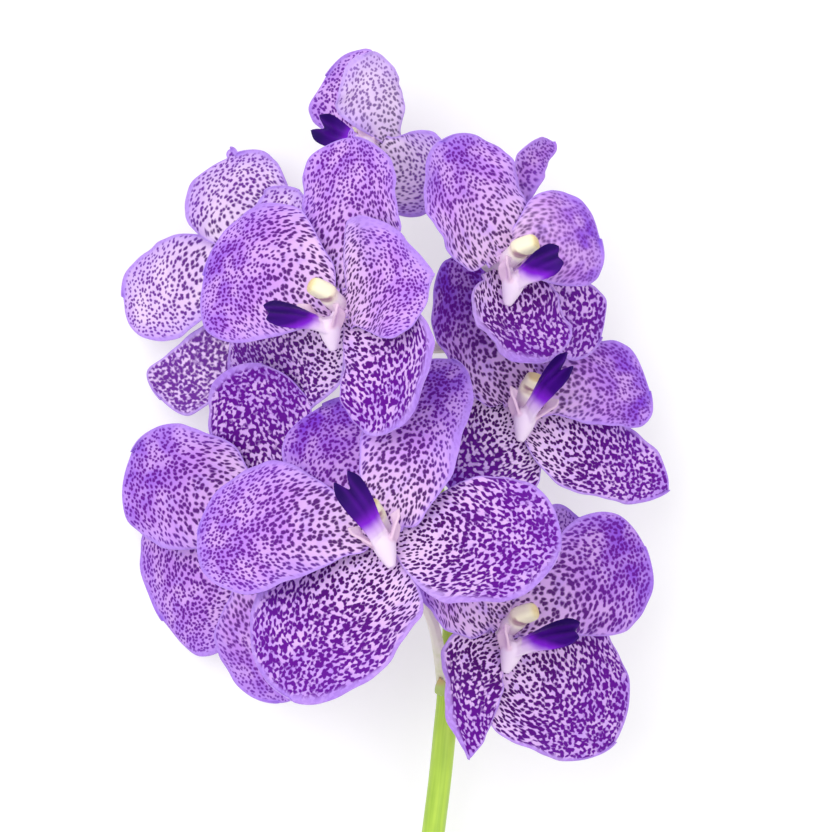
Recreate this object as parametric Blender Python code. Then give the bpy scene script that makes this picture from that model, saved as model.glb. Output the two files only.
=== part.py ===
"""Cut vanda orchid: a cut spray of eight open blooms on one stalk, lying on a flat surface.

The stalk runs along Y with its cut end at -Y, and the blooms face up and outwards, away from it.
Each bloom has five tepals, a column and a lip, and each of those is one closed solid. The stalk,
its bracts and the eight flower stems that leave it are one more solid.
Lengths in the tables are in millimetres. X is right, Y is towards the tip of the spray, Z is up.
"""

import math
from dataclasses import dataclass

import bmesh
import bpy
from mathutils import Matrix, Vector

MM = 0.001

# Colour and roughness of each kind of piece
FINISHES = {
    "tepal": ((0.33, 0.14, 0.66), 0.55),
    "lip": ((0.10, 0.02, 0.36), 0.45),
    "column": ((0.86, 0.80, 0.66), 0.50),
    "stalk": ((0.42, 0.60, 0.16), 0.50),
}

# Tepals: the sepals and petals
TEPAL_THICKNESS = 0.9
TEPAL_ROWS = 9
TEPAL_COLUMNS = 6
CLAW_HALF_WIDTH = 1.6
CLAW_START = 3.1
TIP_HALF_WIDTH = 1.7
PETAL_LEVEL = 1.4
SEPAL_LEVEL = -1.4
THINNEST_ON_TABLE = 0.3

# Column: the short body at the middle of a bloom, with a rounded cap
COLUMN_START = 2.2
COLUMN_LENGTH = 10.0
COLUMN_RADIUS = 3.3
COLUMN_FLATNESS = 0.9
COLUMN_LEAN = 24.0
COLUMN_SIDES = 8
# Its rings, as shares of its length and radius
COLUMN_RINGS = ((0, 0.85), (0.25, 0.82), (0.5, 0.9), (0.7, 1.08), (0.86, 1.02), (1, 0.6))

# Lip: a throat with a spur behind, a foot up to the column, a forked tongue and two side lobes
THROAT_OUT = 5.2
THROAT_DOWN = 7.2
THROAT_RADIUS = 3.2
FOOT_OUT = 2.75
FOOT_DOWN = 2.65
FOOT_RADIUS = 1.1
FOOT_SIDES = 6
SPUR_LENGTH = 7.0
SPUR_BACK = 0.37
SPUR_RINGS = ((-0.42, 0.62), (-0.1, 1.0), (0.35, 0.85), (0.8, 0.5), (1, 0.3))
TONGUE_WIDTH = 9.5
TONGUE_THICKNESS = 1.8
TONGUE_SUNK = 1.0
TONGUE_TOP_UP = 0.35
TONGUE_ARCH = 1.6
TONGUE_HOLLOW = 0.9
TONGUE_NOTCH = 0.24
TONGUE_COLUMNS = (-1, -0.55, 0, 0.55, 1)
# Rows of the tongue, as shares of its length and width
TONGUE_SHAPE = ((0, 0.62), (0.3, 0.62), (0.62, 0.95), (0.86, 1.0), (1.0, 0.6))
LOBE_ROOT = 2.2
LOBE_SPREAD = 4.9
LOBE_RISE = 5.2
LOBE_OUT = 2.6
LOBE_THICKNESS = 1.1
# Rows of a side lobe, as shares of its height and half widths in millimetres
LOBE_SHAPE = ((0, 2.1), (0.5, 2.8), (1, 1.8))

# Stalk and flower stems
STALK_SIDES = 12
STEM_SIDES = 7
STEM_RADIUS = 1.9
STEM_TAPER = 0.1
STEM_SWELLING = 1.12
KNOB_RADIUS = 2.5
KNOB_BACK = 4.0
KNOB_STEP = 1.6
KNOB_FRONT = 1.8

# Bracts: the small scales under the flower stems
BRACT_LENGTH = 9.2
BRACT_DOWN = 1.6
BRACT_FLARE = 2.6
BRACT_HALF_WIDTH = 2.4
BRACT_HALF_DEPTH = 0.9
BRACT_SIDES = 6
BRACT_RINGS = ((0, 1.0), (0.45, 1.0), (0.8, 0.55), (1, 0.2))


@dataclass
class Tepal:
    """One sepal or petal. Its reach runs from the heart of the bloom to the tepal's tip."""

    part: str
    reach: tuple
    width: float
    roll: float = 0.0
    arch: float = 3.0
    cup: float = 2.0
    wave: float = 1.3
    beats: float = 2.2
    phase: float = 0.0
    belly: float = 0.62
    skew: float = 0.0
    full: float = 0.85
    blunt: float = 2.3
    sweep: float = 0.0
    nub: float = 0.0
    level: float = 0.0


@dataclass
class Bloom:
    """One flower. Its stem path runs from the stalk to a point behind the heart."""

    heart: tuple
    facing: tuple
    up: tuple
    tongue: tuple
    stem: tuple
    tepals: tuple
    neck: float = 17.0
    fork: float = TONGUE_NOTCH


BLOOMS = {
    "a": Bloom(
        heart=(-21.6, 32.8, 70),
        facing=(-0.65, 0.10, 0.75),
        up=(0.1, 1, -0.1),
        tongue=(-19.5, 4.5, 11),
        fork=0.07,
        stem=((-2.5, 12, 31), (-4, 24, 44)),
        tepals=(
            Tepal("dorsal_sepal", (2.4, 50, -6), 39, sweep=4.5, skew=0.2, full=0.5, nub=2.6),
            Tepal("left_petal", (-42, 9, -20), 43, sweep=4.5, skew=0.25, full=0.5),
            Tepal("right_petal", (27, 8, 27), 41, sweep=-4.5, skew=-0.45, full=0.5, blunt=1.4),
            Tepal("left_lateral_sepal", (-31, -27, -45), 36, roll=-20, arch=1, skew=-0.3, full=0.5),
            Tepal("right_lateral_sepal", (17, -36, 14), 38, sweep=-8, skew=-0.2, full=0.6),
        ),
    ),
    "b": Bloom(
        heart=(-43.2, 48.3, 26),
        facing=(-0.50, 0.20, 0.84),
        up=(-0.2, 1, 0),
        tongue=(-12, -6, 16),
        stem=((-9, 57, 31), (-22, 62, 26)),
        tepals=(
            Tepal("dorsal_sepal", (-13.4, 32, -19), 32.5, roll=24, sweep=-4.4, belly=0.48, full=0.42,
                  blunt=2.6, nub=2.6),
            Tepal("left_petal", (-47.5, -11.8, -25.4), 32, sweep=-3, skew=0.12, blunt=2.4),
            Tepal("right_petal", (8, 20, 7), 20),
            Tepal("left_lateral_sepal", (-35, -43.5, -16), 22, roll=-10, sweep=-5.5, belly=0.84,
                  blunt=3.2),
            Tepal("right_lateral_sepal", (12, -34, 4), 26),
        ),
    ),
    "c": Bloom(
        heart=(-9, 81, 42),
        facing=(-0.95, 0.25, -0.10),
        up=(0, 0.3, -1),
        tongue=(-16, 8, -2),
        neck=11,
        stem=((-9.3, 60, 31), (-3, 69, 34)),
        tepals=(
            Tepal("dorsal_sepal", (-7, 26.5, 18), 22, roll=-42, arch=-1, sweep=2, skew=-0.2, level=-0.4),
            Tepal("left_petal", (-18.5, 22.5, -17), 30, roll=36, arch=0.4, sweep=3, full=1.1,
                  level=-0.1),
            Tepal("right_petal", (19, -12, 12), 27, roll=-20),
            Tepal("left_lateral_sepal", (-3, 3, -39), 24),
            Tepal("right_lateral_sepal", (-14, -17, -5), 17, full=1.1, level=-0.5),
        ),
    ),
    "d": Bloom(
        heart=(26.1, 46.2, 56),
        facing=(0.62, 0.10, 0.78),
        up=(0.1, 1, -0.1),
        tongue=(14.5, 8.5, 12),
        fork=0.07,
        neck=8,
        stem=((-4.5, 22, 31), (10, 21, 33), (22, 26, 35), (31, 37, 41)),
        tepals=(
            Tepal("dorsal_sepal", (15.2, 37.2, -26), 10.5, sweep=-7, full=0.6),
            Tepal("left_petal", (-19.5, 35.2, 8), 37, sweep=-2.6, belly=0.55, skew=-0.25, full=0.4),
            Tepal("right_petal", (29.2, 7.5, -12), 30, sweep=-2.5, skew=-0.25, full=0.5),
            Tepal("left_lateral_sepal", (13, -30, -1), 32, sweep=4, arch=1.5, skew=0.42, full=0.3,
                  level=-0.9),
            Tepal("right_lateral_sepal", (30, -22, -25), 26, sweep=2.5, level=-2.4),
        ),
    ),
    "e": Bloom(
        heart=(31.2, 3.3, 40),
        facing=(0.40, 0.40, 0.82),
        up=(0.1, 1, -0.5),
        tongue=(13.5, 18.5, 16),
        stem=((3, -16, 30), (15, -12, 25)),
        tepals=(
            Tepal("dorsal_sepal", (10, 34, -39.6), 28),
            Tepal("left_petal", (-21.6, 43.8, 5), 31, sweep=-5, skew=-0.3, full=0.45),
            Tepal("right_petal", (40, 4.5, -14), 29, sweep=-2, blunt=3),
            Tepal("left_lateral_sepal", (-22, -24.2, 13.5), 41, skew=0.25, full=0.3, level=-1.3),
            Tepal("right_lateral_sepal", (45.6, -26.2, -14), 31, sweep=5, skew=0.35, full=0.25,
                  blunt=1.5),
        ),
    ),
    "f": Bloom(
        heart=(-9.3, -34.8, 78),
        facing=(-0.30, 0.50, 0.81),
        up=(-0.3, 1, -0.6),
        tongue=(-13, 21, 11),
        stem=((8.6, -84, 27), (5, -62, 49)),
        tepals=(
            Tepal("dorsal_sepal", (-19, 37.8, -28.2), 36, arch=1.5, skew=0.15),
            Tepal("left_petal", (-55.5, -1, -14), 43.5, belly=0.59, full=0.7, level=0.6),
            Tepal("right_petal", (20, 51.6, -15), 32, belly=0.52, skew=0.15, full=0.5),
            Tepal("left_lateral_sepal", (-26.8, -48.4, 11), 51, cup=1, belly=0.56, skew=-0.25,
                  full=0.4, blunt=2, level=-0.8),
            Tepal("right_lateral_sepal", (51.3, -4.8, 11), 43, sweep=1, skew=0.15, full=0.4, blunt=2,
                  level=0.7),
        ),
    ),
    "g": Bloom(
        heart=(-46.2, -34.2, 27),
        facing=(-0.50, -0.10, 0.85),
        up=(-0.6, -0.8, 0),
        tongue=(-4, 2, 18),
        stem=((5, -40, 31), (-18, -36, 18)),
        tepals=(
            Tepal("dorsal_sepal", (-31.8, -29.5, -26.6), 45, sweep=2.5),
            Tepal("left_petal", (4.8, -53.2, -1), 35),
            Tepal("right_petal", (-41, 23, -12), 41, skew=0.25, full=0.45),
            Tepal("left_lateral_sepal", (34, 10, 6), 34),
            Tepal("right_lateral_sepal", (0, 50, 16.5), 38, arch=1.3, level=-0.4),
        ),
    ),
    "h": Bloom(
        heart=(26.1, -63.6, 52),
        facing=(0.60, 0.12, 0.78),
        up=(0.1, 1, -0.2),
        tongue=(20.5, 7, 12),
        fork=0.07,
        stem=((9.8, -77, 28), (13, -70, 36)),
        tepals=(
            Tepal("dorsal_sepal", (23, 33, -22), 28),
            Tepal("left_petal", (-18, 33, 7), 42, sweep=-4, skew=-0.2, full=0.45, level=0.4),
            Tepal("right_petal", (43, 24.4, -18), 37, sweep=0),
            Tepal("left_lateral_sepal", (-10.8, -38, 17), 25.5, sweep=9, arch=1.5, skew=0.4,
                  full=0.35, blunt=1.2),
            Tepal("right_lateral_sepal", (34, -35, -14), 50.5, cup=1.2, sweep=2, skew=0.3, full=0.5,
                  belly=0.52, blunt=1.8, level=-1.6),
        ),
    ),
}

# The stalk's middle line from its cut end to its tip: (x, y, z, radius)
STALK_PATH = (
    (-14, -232, 3.6, 3.6),
    (-6, -190, 7.0, 3.6),
    (2, -150, 13.5, 3.6),
    (6.5, -118, 20, 3.5),
    (8.8, -96, 24, 3.5),
    (11.2, -70, 27, 3.4),
    (11, -50, 29, 3.2),
    (5.5, -22, 30, 3.0),
    (-1.8, 14, 31, 2.8),
    (-7.6, 40, 31, 2.5),
    (-9.6, 62, 31, 2.1),
    (-10.4, 68, 30.6, 1.5),
)


def square_to(vector, axis):
    """The direction of a vector once its share along the axis is taken away."""
    return (vector - axis * vector.dot(axis)).normalized()


def smooth(value):
    """Eased step from 0 to 1."""
    value = min(max(value, 0.0), 1.0)
    return value * value * (3 - 2 * value)


def new_material(name, finish):
    colour, roughness = FINISHES[finish]
    material = bpy.data.materials.new(name)
    material.use_nodes = True
    shader = material.node_tree.nodes["Principled BSDF"]
    shader.inputs["Base Color"].default_value = (*colour, 1)
    shader.inputs["Roughness"].default_value = roughness
    shader.inputs["Metallic"].default_value = 0.0
    return material


def new_object(name, points, faces):
    """A mesh object from points in millimetres, with its faces turned outwards."""
    mesh = bpy.data.meshes.new(name)
    mesh.from_pydata([point * MM for point in points], [], faces)
    shell = bmesh.new()
    shell.from_mesh(mesh)
    bmesh.ops.recalc_face_normals(shell, faces=shell.faces)
    bmesh.ops.triangulate(shell, faces=shell.faces)
    shell.to_mesh(mesh)
    shell.free()
    for polygon in mesh.polygons:
        polygon.use_smooth = True
    result = bpy.data.objects.new(name, mesh)
    bpy.context.scene.collection.objects.link(result)
    return result


def grid_normals(grid):
    """Unit normals at the points of a grid whose rows run along a blade and columns across it."""
    last_row = len(grid) - 1
    last_column = len(grid[0]) - 1
    normals = []
    for row in range(last_row + 1):
        line = []
        for column in range(last_column + 1):
            along = grid[min(row + 1, last_row)][column] - grid[max(row - 1, 0)][column]
            across = grid[row][min(column + 1, last_column)] - grid[row][max(column - 1, 0)]
            line.append(across.cross(along).normalized())
        normals.append(line)
    return normals


def new_sheet(name, grid, thickness, settle=False):
    """A closed blade of even thickness about a grid of points, with both faces cut alike."""
    normals = grid_normals(grid)
    rows, columns = len(grid), len(grid[0])
    front, back = [], []
    for row in range(rows):
        for column in range(columns):
            half = normals[row][column] * thickness / 2
            upper = grid[row][column] + half
            lower = grid[row][column] - half
            if settle:
                rest_on_table(upper, lower, thickness)
            front.append(upper)
            back.append(lower)
    faces = []
    for row in range(rows - 1):
        for column in range(columns - 1):
            a = row * columns + column
            b, c, d = a + 1, a + columns + 1, a + columns
            faces += [(a, b, c), (a, c, d)]
            faces += [tuple(rows * columns + i for i in face) for face in ((a, c, b), (a, d, c))]
    edge = [(0, column) for column in range(columns)]
    edge += [(row, columns - 1) for row in range(1, rows)]
    edge += [(rows - 1, column) for column in range(columns - 2, -1, -1)]
    edge += [(row, 0) for row in range(rows - 2, 0, -1)]
    corners = [row * columns + column for row, column in edge]
    for here, after in zip(corners, corners[1:] + corners[:1]):
        faces.append((after, here, here + rows * columns, after + rows * columns))
    return new_object(name, front + back, faces)


def rest_on_table(upper, lower, thickness):
    """Lifts the two faces of a blade that would dip below the table, so that it lies flat on it."""
    top, bottom = (upper, lower) if upper.z >= lower.z else (lower, upper)
    bottom.z = max(bottom.z, 0.0)
    top.z = max(top.z, bottom.z + THINNEST_ON_TABLE, thickness)


def tepal_half_width(tepal, s, side):
    """Half the width of a tepal at the share s of its length, on its left (-1) or right (1)."""
    half = tepal.width / 2
    belly = tepal.belly - max(0.0, tepal.skew * side)
    if s < belly:
        return CLAW_HALF_WIDTH + (half - CLAW_HALF_WIDTH) * smooth(s / belly) ** tepal.full
    beyond = (s - belly) / (1 - belly)
    rounding = 1 / min(tepal.blunt, 2.0)
    return max(TIP_HALF_WIDTH, half * (1 - min(beyond, 1.0) ** tepal.blunt) ** rounding)


def tepal_grid(bloom, tepal, rows, columns):
    """Points of the middle sheet of a tepal, its rows running from claw to tip."""
    heart = Vector(bloom.heart)
    facing = Vector(bloom.facing).normalized()
    level = tepal.level + (PETAL_LEVEL if "petal" in tepal.part else SEPAL_LEVEL)
    tip = heart + Vector(tepal.reach)
    claw = heart + facing * level + square_to(Vector(tepal.reach), facing) * CLAW_START
    along = (tip - claw).normalized()
    length = (tip - claw).length
    turn = Matrix.Rotation(math.radians(tepal.roll), 3, along)
    out = turn @ square_to(facing, along)
    across = along.cross(out)
    shares = [(1 - math.cos(math.pi * row / rows)) / 2 for row in range(rows + 1)]
    if tepal.nub:
        shares.append(1 + tepal.nub / length)
    grid = []
    for s in shares:
        line = []
        inside = min(s, 1.0)
        for column in range(columns + 1):
            u = 2 * column / columns - 1
            half = tepal_half_width(tepal, s, 1 if u > 0 else -1)
            spread = u * half / (tepal.width / 2)
            beat = 2 * math.pi * tepal.beats * inside + tepal.phase + (2.1 if u < 0 else 0.0)
            bow = 4 * inside * (1 - inside)
            lift = tepal.arch * bow + tepal.cup * spread**2
            lift += tepal.wave * smooth(inside / 0.45) * abs(u) ** 2.5 * math.sin(beat)
            aside = u * half + tepal.sweep * bow
            line.append(claw + along * length * s + across * aside + out * lift)
        grid.append(line)
    return grid


def new_loft(name, rings):
    """A closed body through rings of points, all of one count, with flat ends."""
    sides = len(rings[0])
    points = [point for ring in rings for point in ring]
    faces = []
    for ring in range(len(rings) - 1):
        for side in range(sides):
            a = ring * sides + side
            b = ring * sides + (side + 1) % sides
            faces.append((a, b, b + sides, a + sides))
    faces.append(tuple(range(sides))[::-1])
    last = (len(rings) - 1) * sides
    faces.append(tuple(range(last, last + sides)))
    return new_object(name, points, faces)


def ring_points(centre, wide, tall, sides):
    """An ellipse of points about a centre, with its half axes given as vectors."""
    steps = [2 * math.pi * side / sides for side in range(sides)]
    return [centre + wide * math.cos(turn) + tall * math.sin(turn) for turn in steps]


def bloom_axes(bloom):
    """Facing, up and right of a bloom: its column leans up and its lip hangs below."""
    facing = Vector(bloom.facing).normalized()
    up = square_to(Vector(bloom.up), facing)
    return facing, up, up.cross(facing)


def new_column(name, bloom):
    """The column: a stubby body that swells into a rounded cap leaning towards the dorsal sepal."""
    facing, up, right = bloom_axes(bloom)
    lean = Matrix.Rotation(math.radians(COLUMN_LEAN), 3, facing.cross(up))
    axis = lean @ facing
    rise = lean @ up
    start = Vector(bloom.heart) + facing * COLUMN_START
    rings = []
    for share, size in COLUMN_RINGS:
        centre = start + axis * COLUMN_LENGTH * share
        reach = COLUMN_RADIUS * size
        rings.append(ring_points(centre, right * reach, rise * reach * COLUMN_FLATNESS, COLUMN_SIDES))
    rings[0] = [point - facing * (point - start).dot(facing) for point in rings[0]]
    return new_loft(name, rings)


def join_all(name, pieces):
    """One solid from several that overlap, by a Boolean union of the rest onto the first."""
    base = pieces[0]
    base.name = name
    others = bpy.data.collections.new(f"{name}_pieces")
    bpy.context.scene.collection.children.link(others)
    for piece in pieces[1:]:
        bpy.context.scene.collection.objects.unlink(piece)
        others.objects.link(piece)
    union = base.modifiers.new("union", "BOOLEAN")
    union.operation = "UNION"
    union.solver = "EXACT"
    union.operand_type = "COLLECTION"
    union.collection = others
    graph = bpy.context.evaluated_depsgraph_get()
    joined = bpy.data.meshes.new_from_object(base.evaluated_get(graph))
    base.modifiers.clear()
    base.data = joined
    base.data.name = name
    for piece in list(others.objects):
        bpy.data.objects.remove(piece)
    bpy.data.collections.remove(others)
    for polygon in joined.polygons:
        polygon.use_smooth = True
    return base


def tongue_grid(root, reach, top, fork):
    """Points of the lip's tongue: narrow at the throat, broad and forked at its end."""
    along = reach.normalized()
    top = square_to(top, along)
    across = along.cross(top)
    grid = []
    for s, width in TONGUE_SHAPE:
        line = []
        for u in TONGUE_COLUMNS:
            notch = fork * smooth((s - 0.55) / 0.45) * (1 - abs(u)) ** 1.5
            lift = TONGUE_ARCH * 4 * s * (1 - s) - TONGUE_HOLLOW * u * u * (1 - s)
            place = root + along * reach.length * (s - notch)
            line.append(place + across * u * width * TONGUE_WIDTH / 2 + top * lift)
        grid.append(line)
    return grid


def lobe_grid(throat, side, bloom):
    """Points of one side lobe of the lip, which stands up beside the throat."""
    facing, up, right = bloom_axes(bloom)
    grid = []
    for s, half in LOBE_SHAPE:
        spread = LOBE_ROOT + (LOBE_SPREAD - LOBE_ROOT) * min(1, s * 1.6)
        middle = throat + right * side * spread + (up * LOBE_RISE + facing * LOBE_OUT) * s
        grid.append([middle + facing * offset * half for offset in (-1, 0, 1)])
    return grid


def new_lip(name, bloom):
    """The lip: its throat and spur, the foot that seats it under the column, tongue and lobes."""
    facing, up, right = bloom_axes(bloom)
    heart = Vector(bloom.heart)
    throat = heart + facing * THROAT_OUT - up * THROAT_DOWN
    seat = heart + facing * FOOT_OUT - up * FOOT_DOWN
    behind = (-up - facing * SPUR_BACK).normalized()
    tall = square_to(facing, behind)
    rings = []
    for share, size in SPUR_RINGS:
        centre = throat + behind * SPUR_LENGTH * share
        reach = THROAT_RADIUS * size
        rings.append(ring_points(centre, right * reach, tall * reach, COLUMN_SIDES))
    pieces = [new_loft("throat", rings)]
    pieces.append(new_tube("foot", ((*throat, FOOT_RADIUS), (*seat, FOOT_RADIUS)), FOOT_SIDES))
    tongue = Vector(bloom.tongue)
    root = throat - tongue.normalized() * TONGUE_SUNK
    rows = tongue_grid(root, tongue, facing + up * TONGUE_TOP_UP, bloom.fork)
    pieces.append(new_sheet("tongue", rows, TONGUE_THICKNESS))
    for side in (-1, 1):
        pieces.append(new_sheet("side_lobe", lobe_grid(throat, side, bloom), LOBE_THICKNESS))
    return join_all(name, pieces)


def curve_through(points, steps):
    """Evenly shared points on a smooth curve through the given ones, which may hold a radius too."""
    count = len(points)
    curve = []
    for index in range(count - 1):
        before = points[max(index - 1, 0)]
        start, end = points[index], points[index + 1]
        after = points[min(index + 2, count - 1)]
        for step in range(steps):
            t = step / steps
            curve.append(tuple(
                0.5 * (2 * p1 + (p2 - p0) * t + (2 * p0 - 5 * p1 + 4 * p2 - p3) * t * t
                       + (3 * p1 - p0 - 3 * p2 + p3) * t**3)
                for p0, p1, p2, p3 in zip(before, start, end, after)
            ))
    curve.append(tuple(points[-1]))
    return curve


def new_tube(name, path, sides):
    """A round tube along points that hold (x, y, z, radius)."""
    centres = [Vector(point[:3]) for point in path]
    side_way = Vector((1, 0, 0))
    rings = []
    for index, centre in enumerate(centres):
        ahead = centres[min(index + 1, len(centres) - 1)]
        behind = centres[max(index - 1, 0)]
        along = (ahead - behind).normalized()
        side_way = square_to(side_way, along)
        radius = path[index][3]
        rings.append(ring_points(centre, side_way * radius, along.cross(side_way) * radius, sides))
    return new_loft(name, rings)


def flower_stem_path(bloom):
    """From inside the stalk to the knob that carries the tepals."""
    facing = Vector(bloom.facing).normalized()
    heart = Vector(bloom.heart)
    neck = heart - facing * bloom.neck
    swelling = heart - facing * (bloom.neck + KNOB_BACK) / 2
    back = heart - facing * KNOB_BACK
    path = [(*point, STEM_RADIUS * (1 - STEM_TAPER * index)) for index, point in enumerate(bloom.stem)]
    path.append((*neck, STEM_RADIUS))
    path.append((*swelling, STEM_RADIUS * STEM_SWELLING))
    path.append((*back, STEM_RADIUS * STEM_SWELLING))
    path = curve_through(path, 2)
    path.append((*(back + facing * KNOB_STEP), KNOB_RADIUS))
    path.append((*(heart + facing * KNOB_FRONT), KNOB_RADIUS))
    return path


def new_bract(bloom):
    """The small pointed scale under a flower stem where it leaves the stalk."""
    start = Vector(bloom.stem[0])
    way = (Vector(bloom.stem[1]) - start).normalized()
    down = square_to(Vector((0, -1, 0)), way)
    wide = down.cross(way)
    root = start + down * BRACT_DOWN
    tip = start + way * BRACT_LENGTH + down * BRACT_FLARE
    rings = []
    for share, size in BRACT_RINGS:
        centre = root + (tip - root) * share
        half_width = wide * BRACT_HALF_WIDTH * size
        rings.append(ring_points(centre, half_width, down * BRACT_HALF_DEPTH * size, BRACT_SIDES))
    return new_loft("bract", rings)


def new_stalk(name):
    """The stalk, its bracts and all the flower stems, as one solid."""
    pieces = [new_tube("stalk", curve_through(STALK_PATH, 2), STALK_SIDES)]
    for bloom in BLOOMS.values():
        pieces.append(new_tube("stem", flower_stem_path(bloom), STEM_SIDES))
        pieces.append(new_bract(bloom))
    return join_all(name, pieces)


def new_empty(name, place, parent=None):
    """An empty that carries pieces, at a place given in millimetres."""
    empty = bpy.data.objects.new(name, None)
    bpy.context.scene.collection.objects.link(empty)
    empty.parent = parent
    empty.location = Vector(place) * MM
    return empty


def hang(piece, carrier, place, finish):
    """Gives a piece its own material, and its origin at the place of the empty that carries it."""
    piece.data.transform(Matrix.Translation(-Vector(place) * MM))
    piece.data.materials.clear()
    piece.data.materials.append(new_material(piece.name, finish))
    piece.parent = carrier


def stand_on_origin(spray):
    """Moves the spray so that the middle of its bounding box's base is at the origin."""
    bpy.context.view_layer.update()
    pieces = [piece for piece in bpy.context.scene.objects if piece.type == "MESH"]
    corners = [piece.matrix_world @ vertex.co for piece in pieces for vertex in piece.data.vertices]
    low = Vector(min(corner[axis] for corner in corners) for axis in range(3))
    high = Vector(max(corner[axis] for corner in corners) for axis in range(3))
    spray.location = Vector((-(low.x + high.x) / 2, -(low.y + high.y) / 2, -low.z))
    print("moved by", [round(value / MM, 3) for value in spray.location])


def clear_scene():
    for old in list(bpy.data.objects):
        bpy.data.objects.remove(old)


def main():
    clear_scene()
    spray = new_empty("spray", (0, 0, 0))
    for letter, bloom in BLOOMS.items():
        carrier = new_empty(f"bloom_{letter}", bloom.heart, spray)
        for tepal in bloom.tepals:
            grid = tepal_grid(bloom, tepal, TEPAL_ROWS, TEPAL_COLUMNS)
            sheet = new_sheet(f"bloom_{letter}_{tepal.part}", grid, TEPAL_THICKNESS, settle=True)
            hang(sheet, carrier, bloom.heart, "tepal")
        hang(new_column(f"bloom_{letter}_column", bloom), carrier, bloom.heart, "column")
        hang(new_lip(f"bloom_{letter}_lip", bloom), carrier, bloom.heart, "lip")
    hang(new_stalk("flower_stalk"), spray, (0, 0, 0), "stalk")
    stand_on_origin(spray)


main()
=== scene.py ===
"""Looks of a cut vanda orchid: eight spotted violet blooms on one stalk, lying on a pale floor.

Each CAD node is replaced by a finer piece of the same form, built from the same named values as the
part's source, and gets the patterns that are only colour. Lengths are in millimetres: X is right,
Y is towards the tip of the spray and Z is up.
"""

import math
from dataclasses import dataclass, replace

import bmesh
import bpy
import numpy as np
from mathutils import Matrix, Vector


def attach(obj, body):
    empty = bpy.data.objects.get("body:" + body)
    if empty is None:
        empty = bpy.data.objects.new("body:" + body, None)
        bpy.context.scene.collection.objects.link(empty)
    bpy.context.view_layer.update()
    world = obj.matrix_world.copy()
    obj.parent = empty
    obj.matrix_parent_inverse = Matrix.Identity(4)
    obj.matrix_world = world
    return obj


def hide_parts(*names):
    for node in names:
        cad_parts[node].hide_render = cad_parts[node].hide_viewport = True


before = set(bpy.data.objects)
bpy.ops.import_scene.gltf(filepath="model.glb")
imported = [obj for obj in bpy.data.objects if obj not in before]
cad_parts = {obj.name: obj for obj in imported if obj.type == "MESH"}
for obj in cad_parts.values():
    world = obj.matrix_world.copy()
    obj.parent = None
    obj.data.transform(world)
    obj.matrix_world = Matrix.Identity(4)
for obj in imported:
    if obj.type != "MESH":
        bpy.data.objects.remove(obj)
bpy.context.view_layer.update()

MM = 0.001
# Steps between two rows of a profile's table, and how many points are measured at a time
PROFILE_STEPS = 12
NEAREST_BATCH = 1000
# From the tables' origin, the middle of the photo, to the frame's origin
TO_FRAME = np.array((7.094, 60.728, 0.0))

# Camera: it looks straight down, and one pixel is 0.3 mm at the blooms
CAMERA_HEIGHT = 1500.0
CAMERA_FOCUS_HEIGHT = 50.0
PHOTO_SIDE = 832
PIXEL = 0.3
SENSOR = 36.0

# Floor and lights, in metres: the floor glows a little, as the bright backdrop of the photo does
FLOOR_REACH = 6.0
FLOOR_TOP = -0.0003
FLOOR_GREY = (0.6, 0.6, 0.605, 1)
FLOOR_GLOW = 0.45
WORLD_LIGHT = 0.72
WHITE = (1.0, 1.0, 1.0, 1)
# Name, place, side and watts of each soft square light: the key is at the upper left
LIGHTS = (("key", (-0.6, 0.5, 1.4), 1.3, 13), ("fill", (0.8, -0.4, 1.4), 1.2, 6))
LIGHTS_AIM = (0, 0, 0.05)

# Tepals: the sepals and petals, in the order in which each bloom's are listed
TEPAL_PARTS = ("dorsal_sepal", "left_petal", "right_petal", "left_lateral_sepal",
               "right_lateral_sepal")
TEPAL_ROWS = 58
TEPAL_COLUMNS = 42
TEPAL_THICKNESS = 0.9
TEPAL_RIM_THICKNESS = 0.4
TEPAL_RIM_TAPER = 2.5
TEPAL_RIM_ROUND = 0.16
CLAW_HALF_WIDTH = 3.1
PETAL_CLAW_HALF_WIDTH = 4.4
# How much sooner a petal widens beside its claw, over this share of its length
PETAL_BASE_FULLER = 0.5
PETAL_BASE_SHARE = 0.1
CLAW_START = 3.1
CLAW_ROOT = 1.6
CLAW_ROOT_ROWS = (1, 0.6, 0.25)
NUB_ROWS = (0.15, 0.35, 0.55, 0.75, 0.9, 1)
TIP_HALF_WIDTH = 1.7
FINE_TIP_HALF_WIDTH = 0.5
PETAL_LEVEL = 1.4
SEPAL_LEVEL = -1.4
THINNEST_ON_TABLE = 0.3
WAVE = 1.3
WAVE_BEATS = 2.2
WAVE_SIDES_APART = 2.1
RUFFLE = 0.28
RUFFLE_WAVES = 6.5
QUILT = 0.16
QUILT_LENGTHS = (2.3, 3.1, 3.7, 4.9)
MIDRIB_DEPTH = 0.5
MIDRIB_HALF_WIDTH = 1.3

# Veins fan out from a point behind the claw, and the spots follow them
VEIN_BACK = 3.0
VEIN_EVEN = 19.0
VEIN_FAN_INSIDE = 0.72
VEIN_FAN_OUTSIDE = 0.9
SPOT_STRETCH = 1.02
SPOT_FINER_FROM = 0.35
# How many spots lie between the patterns of one tepal and the next
SPOTS_APART = 61.7

# The plain rim of a tepal: how much its width varies, and what is left of it at the claw
RIM_UNEVEN = 0.4
RIM_WAVES = 9.0
RIM_AT_BASE = 0.25

# How often the fused skin of a column or lip is smoothed
FUSE_SMOOTHINGS = 3

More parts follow.
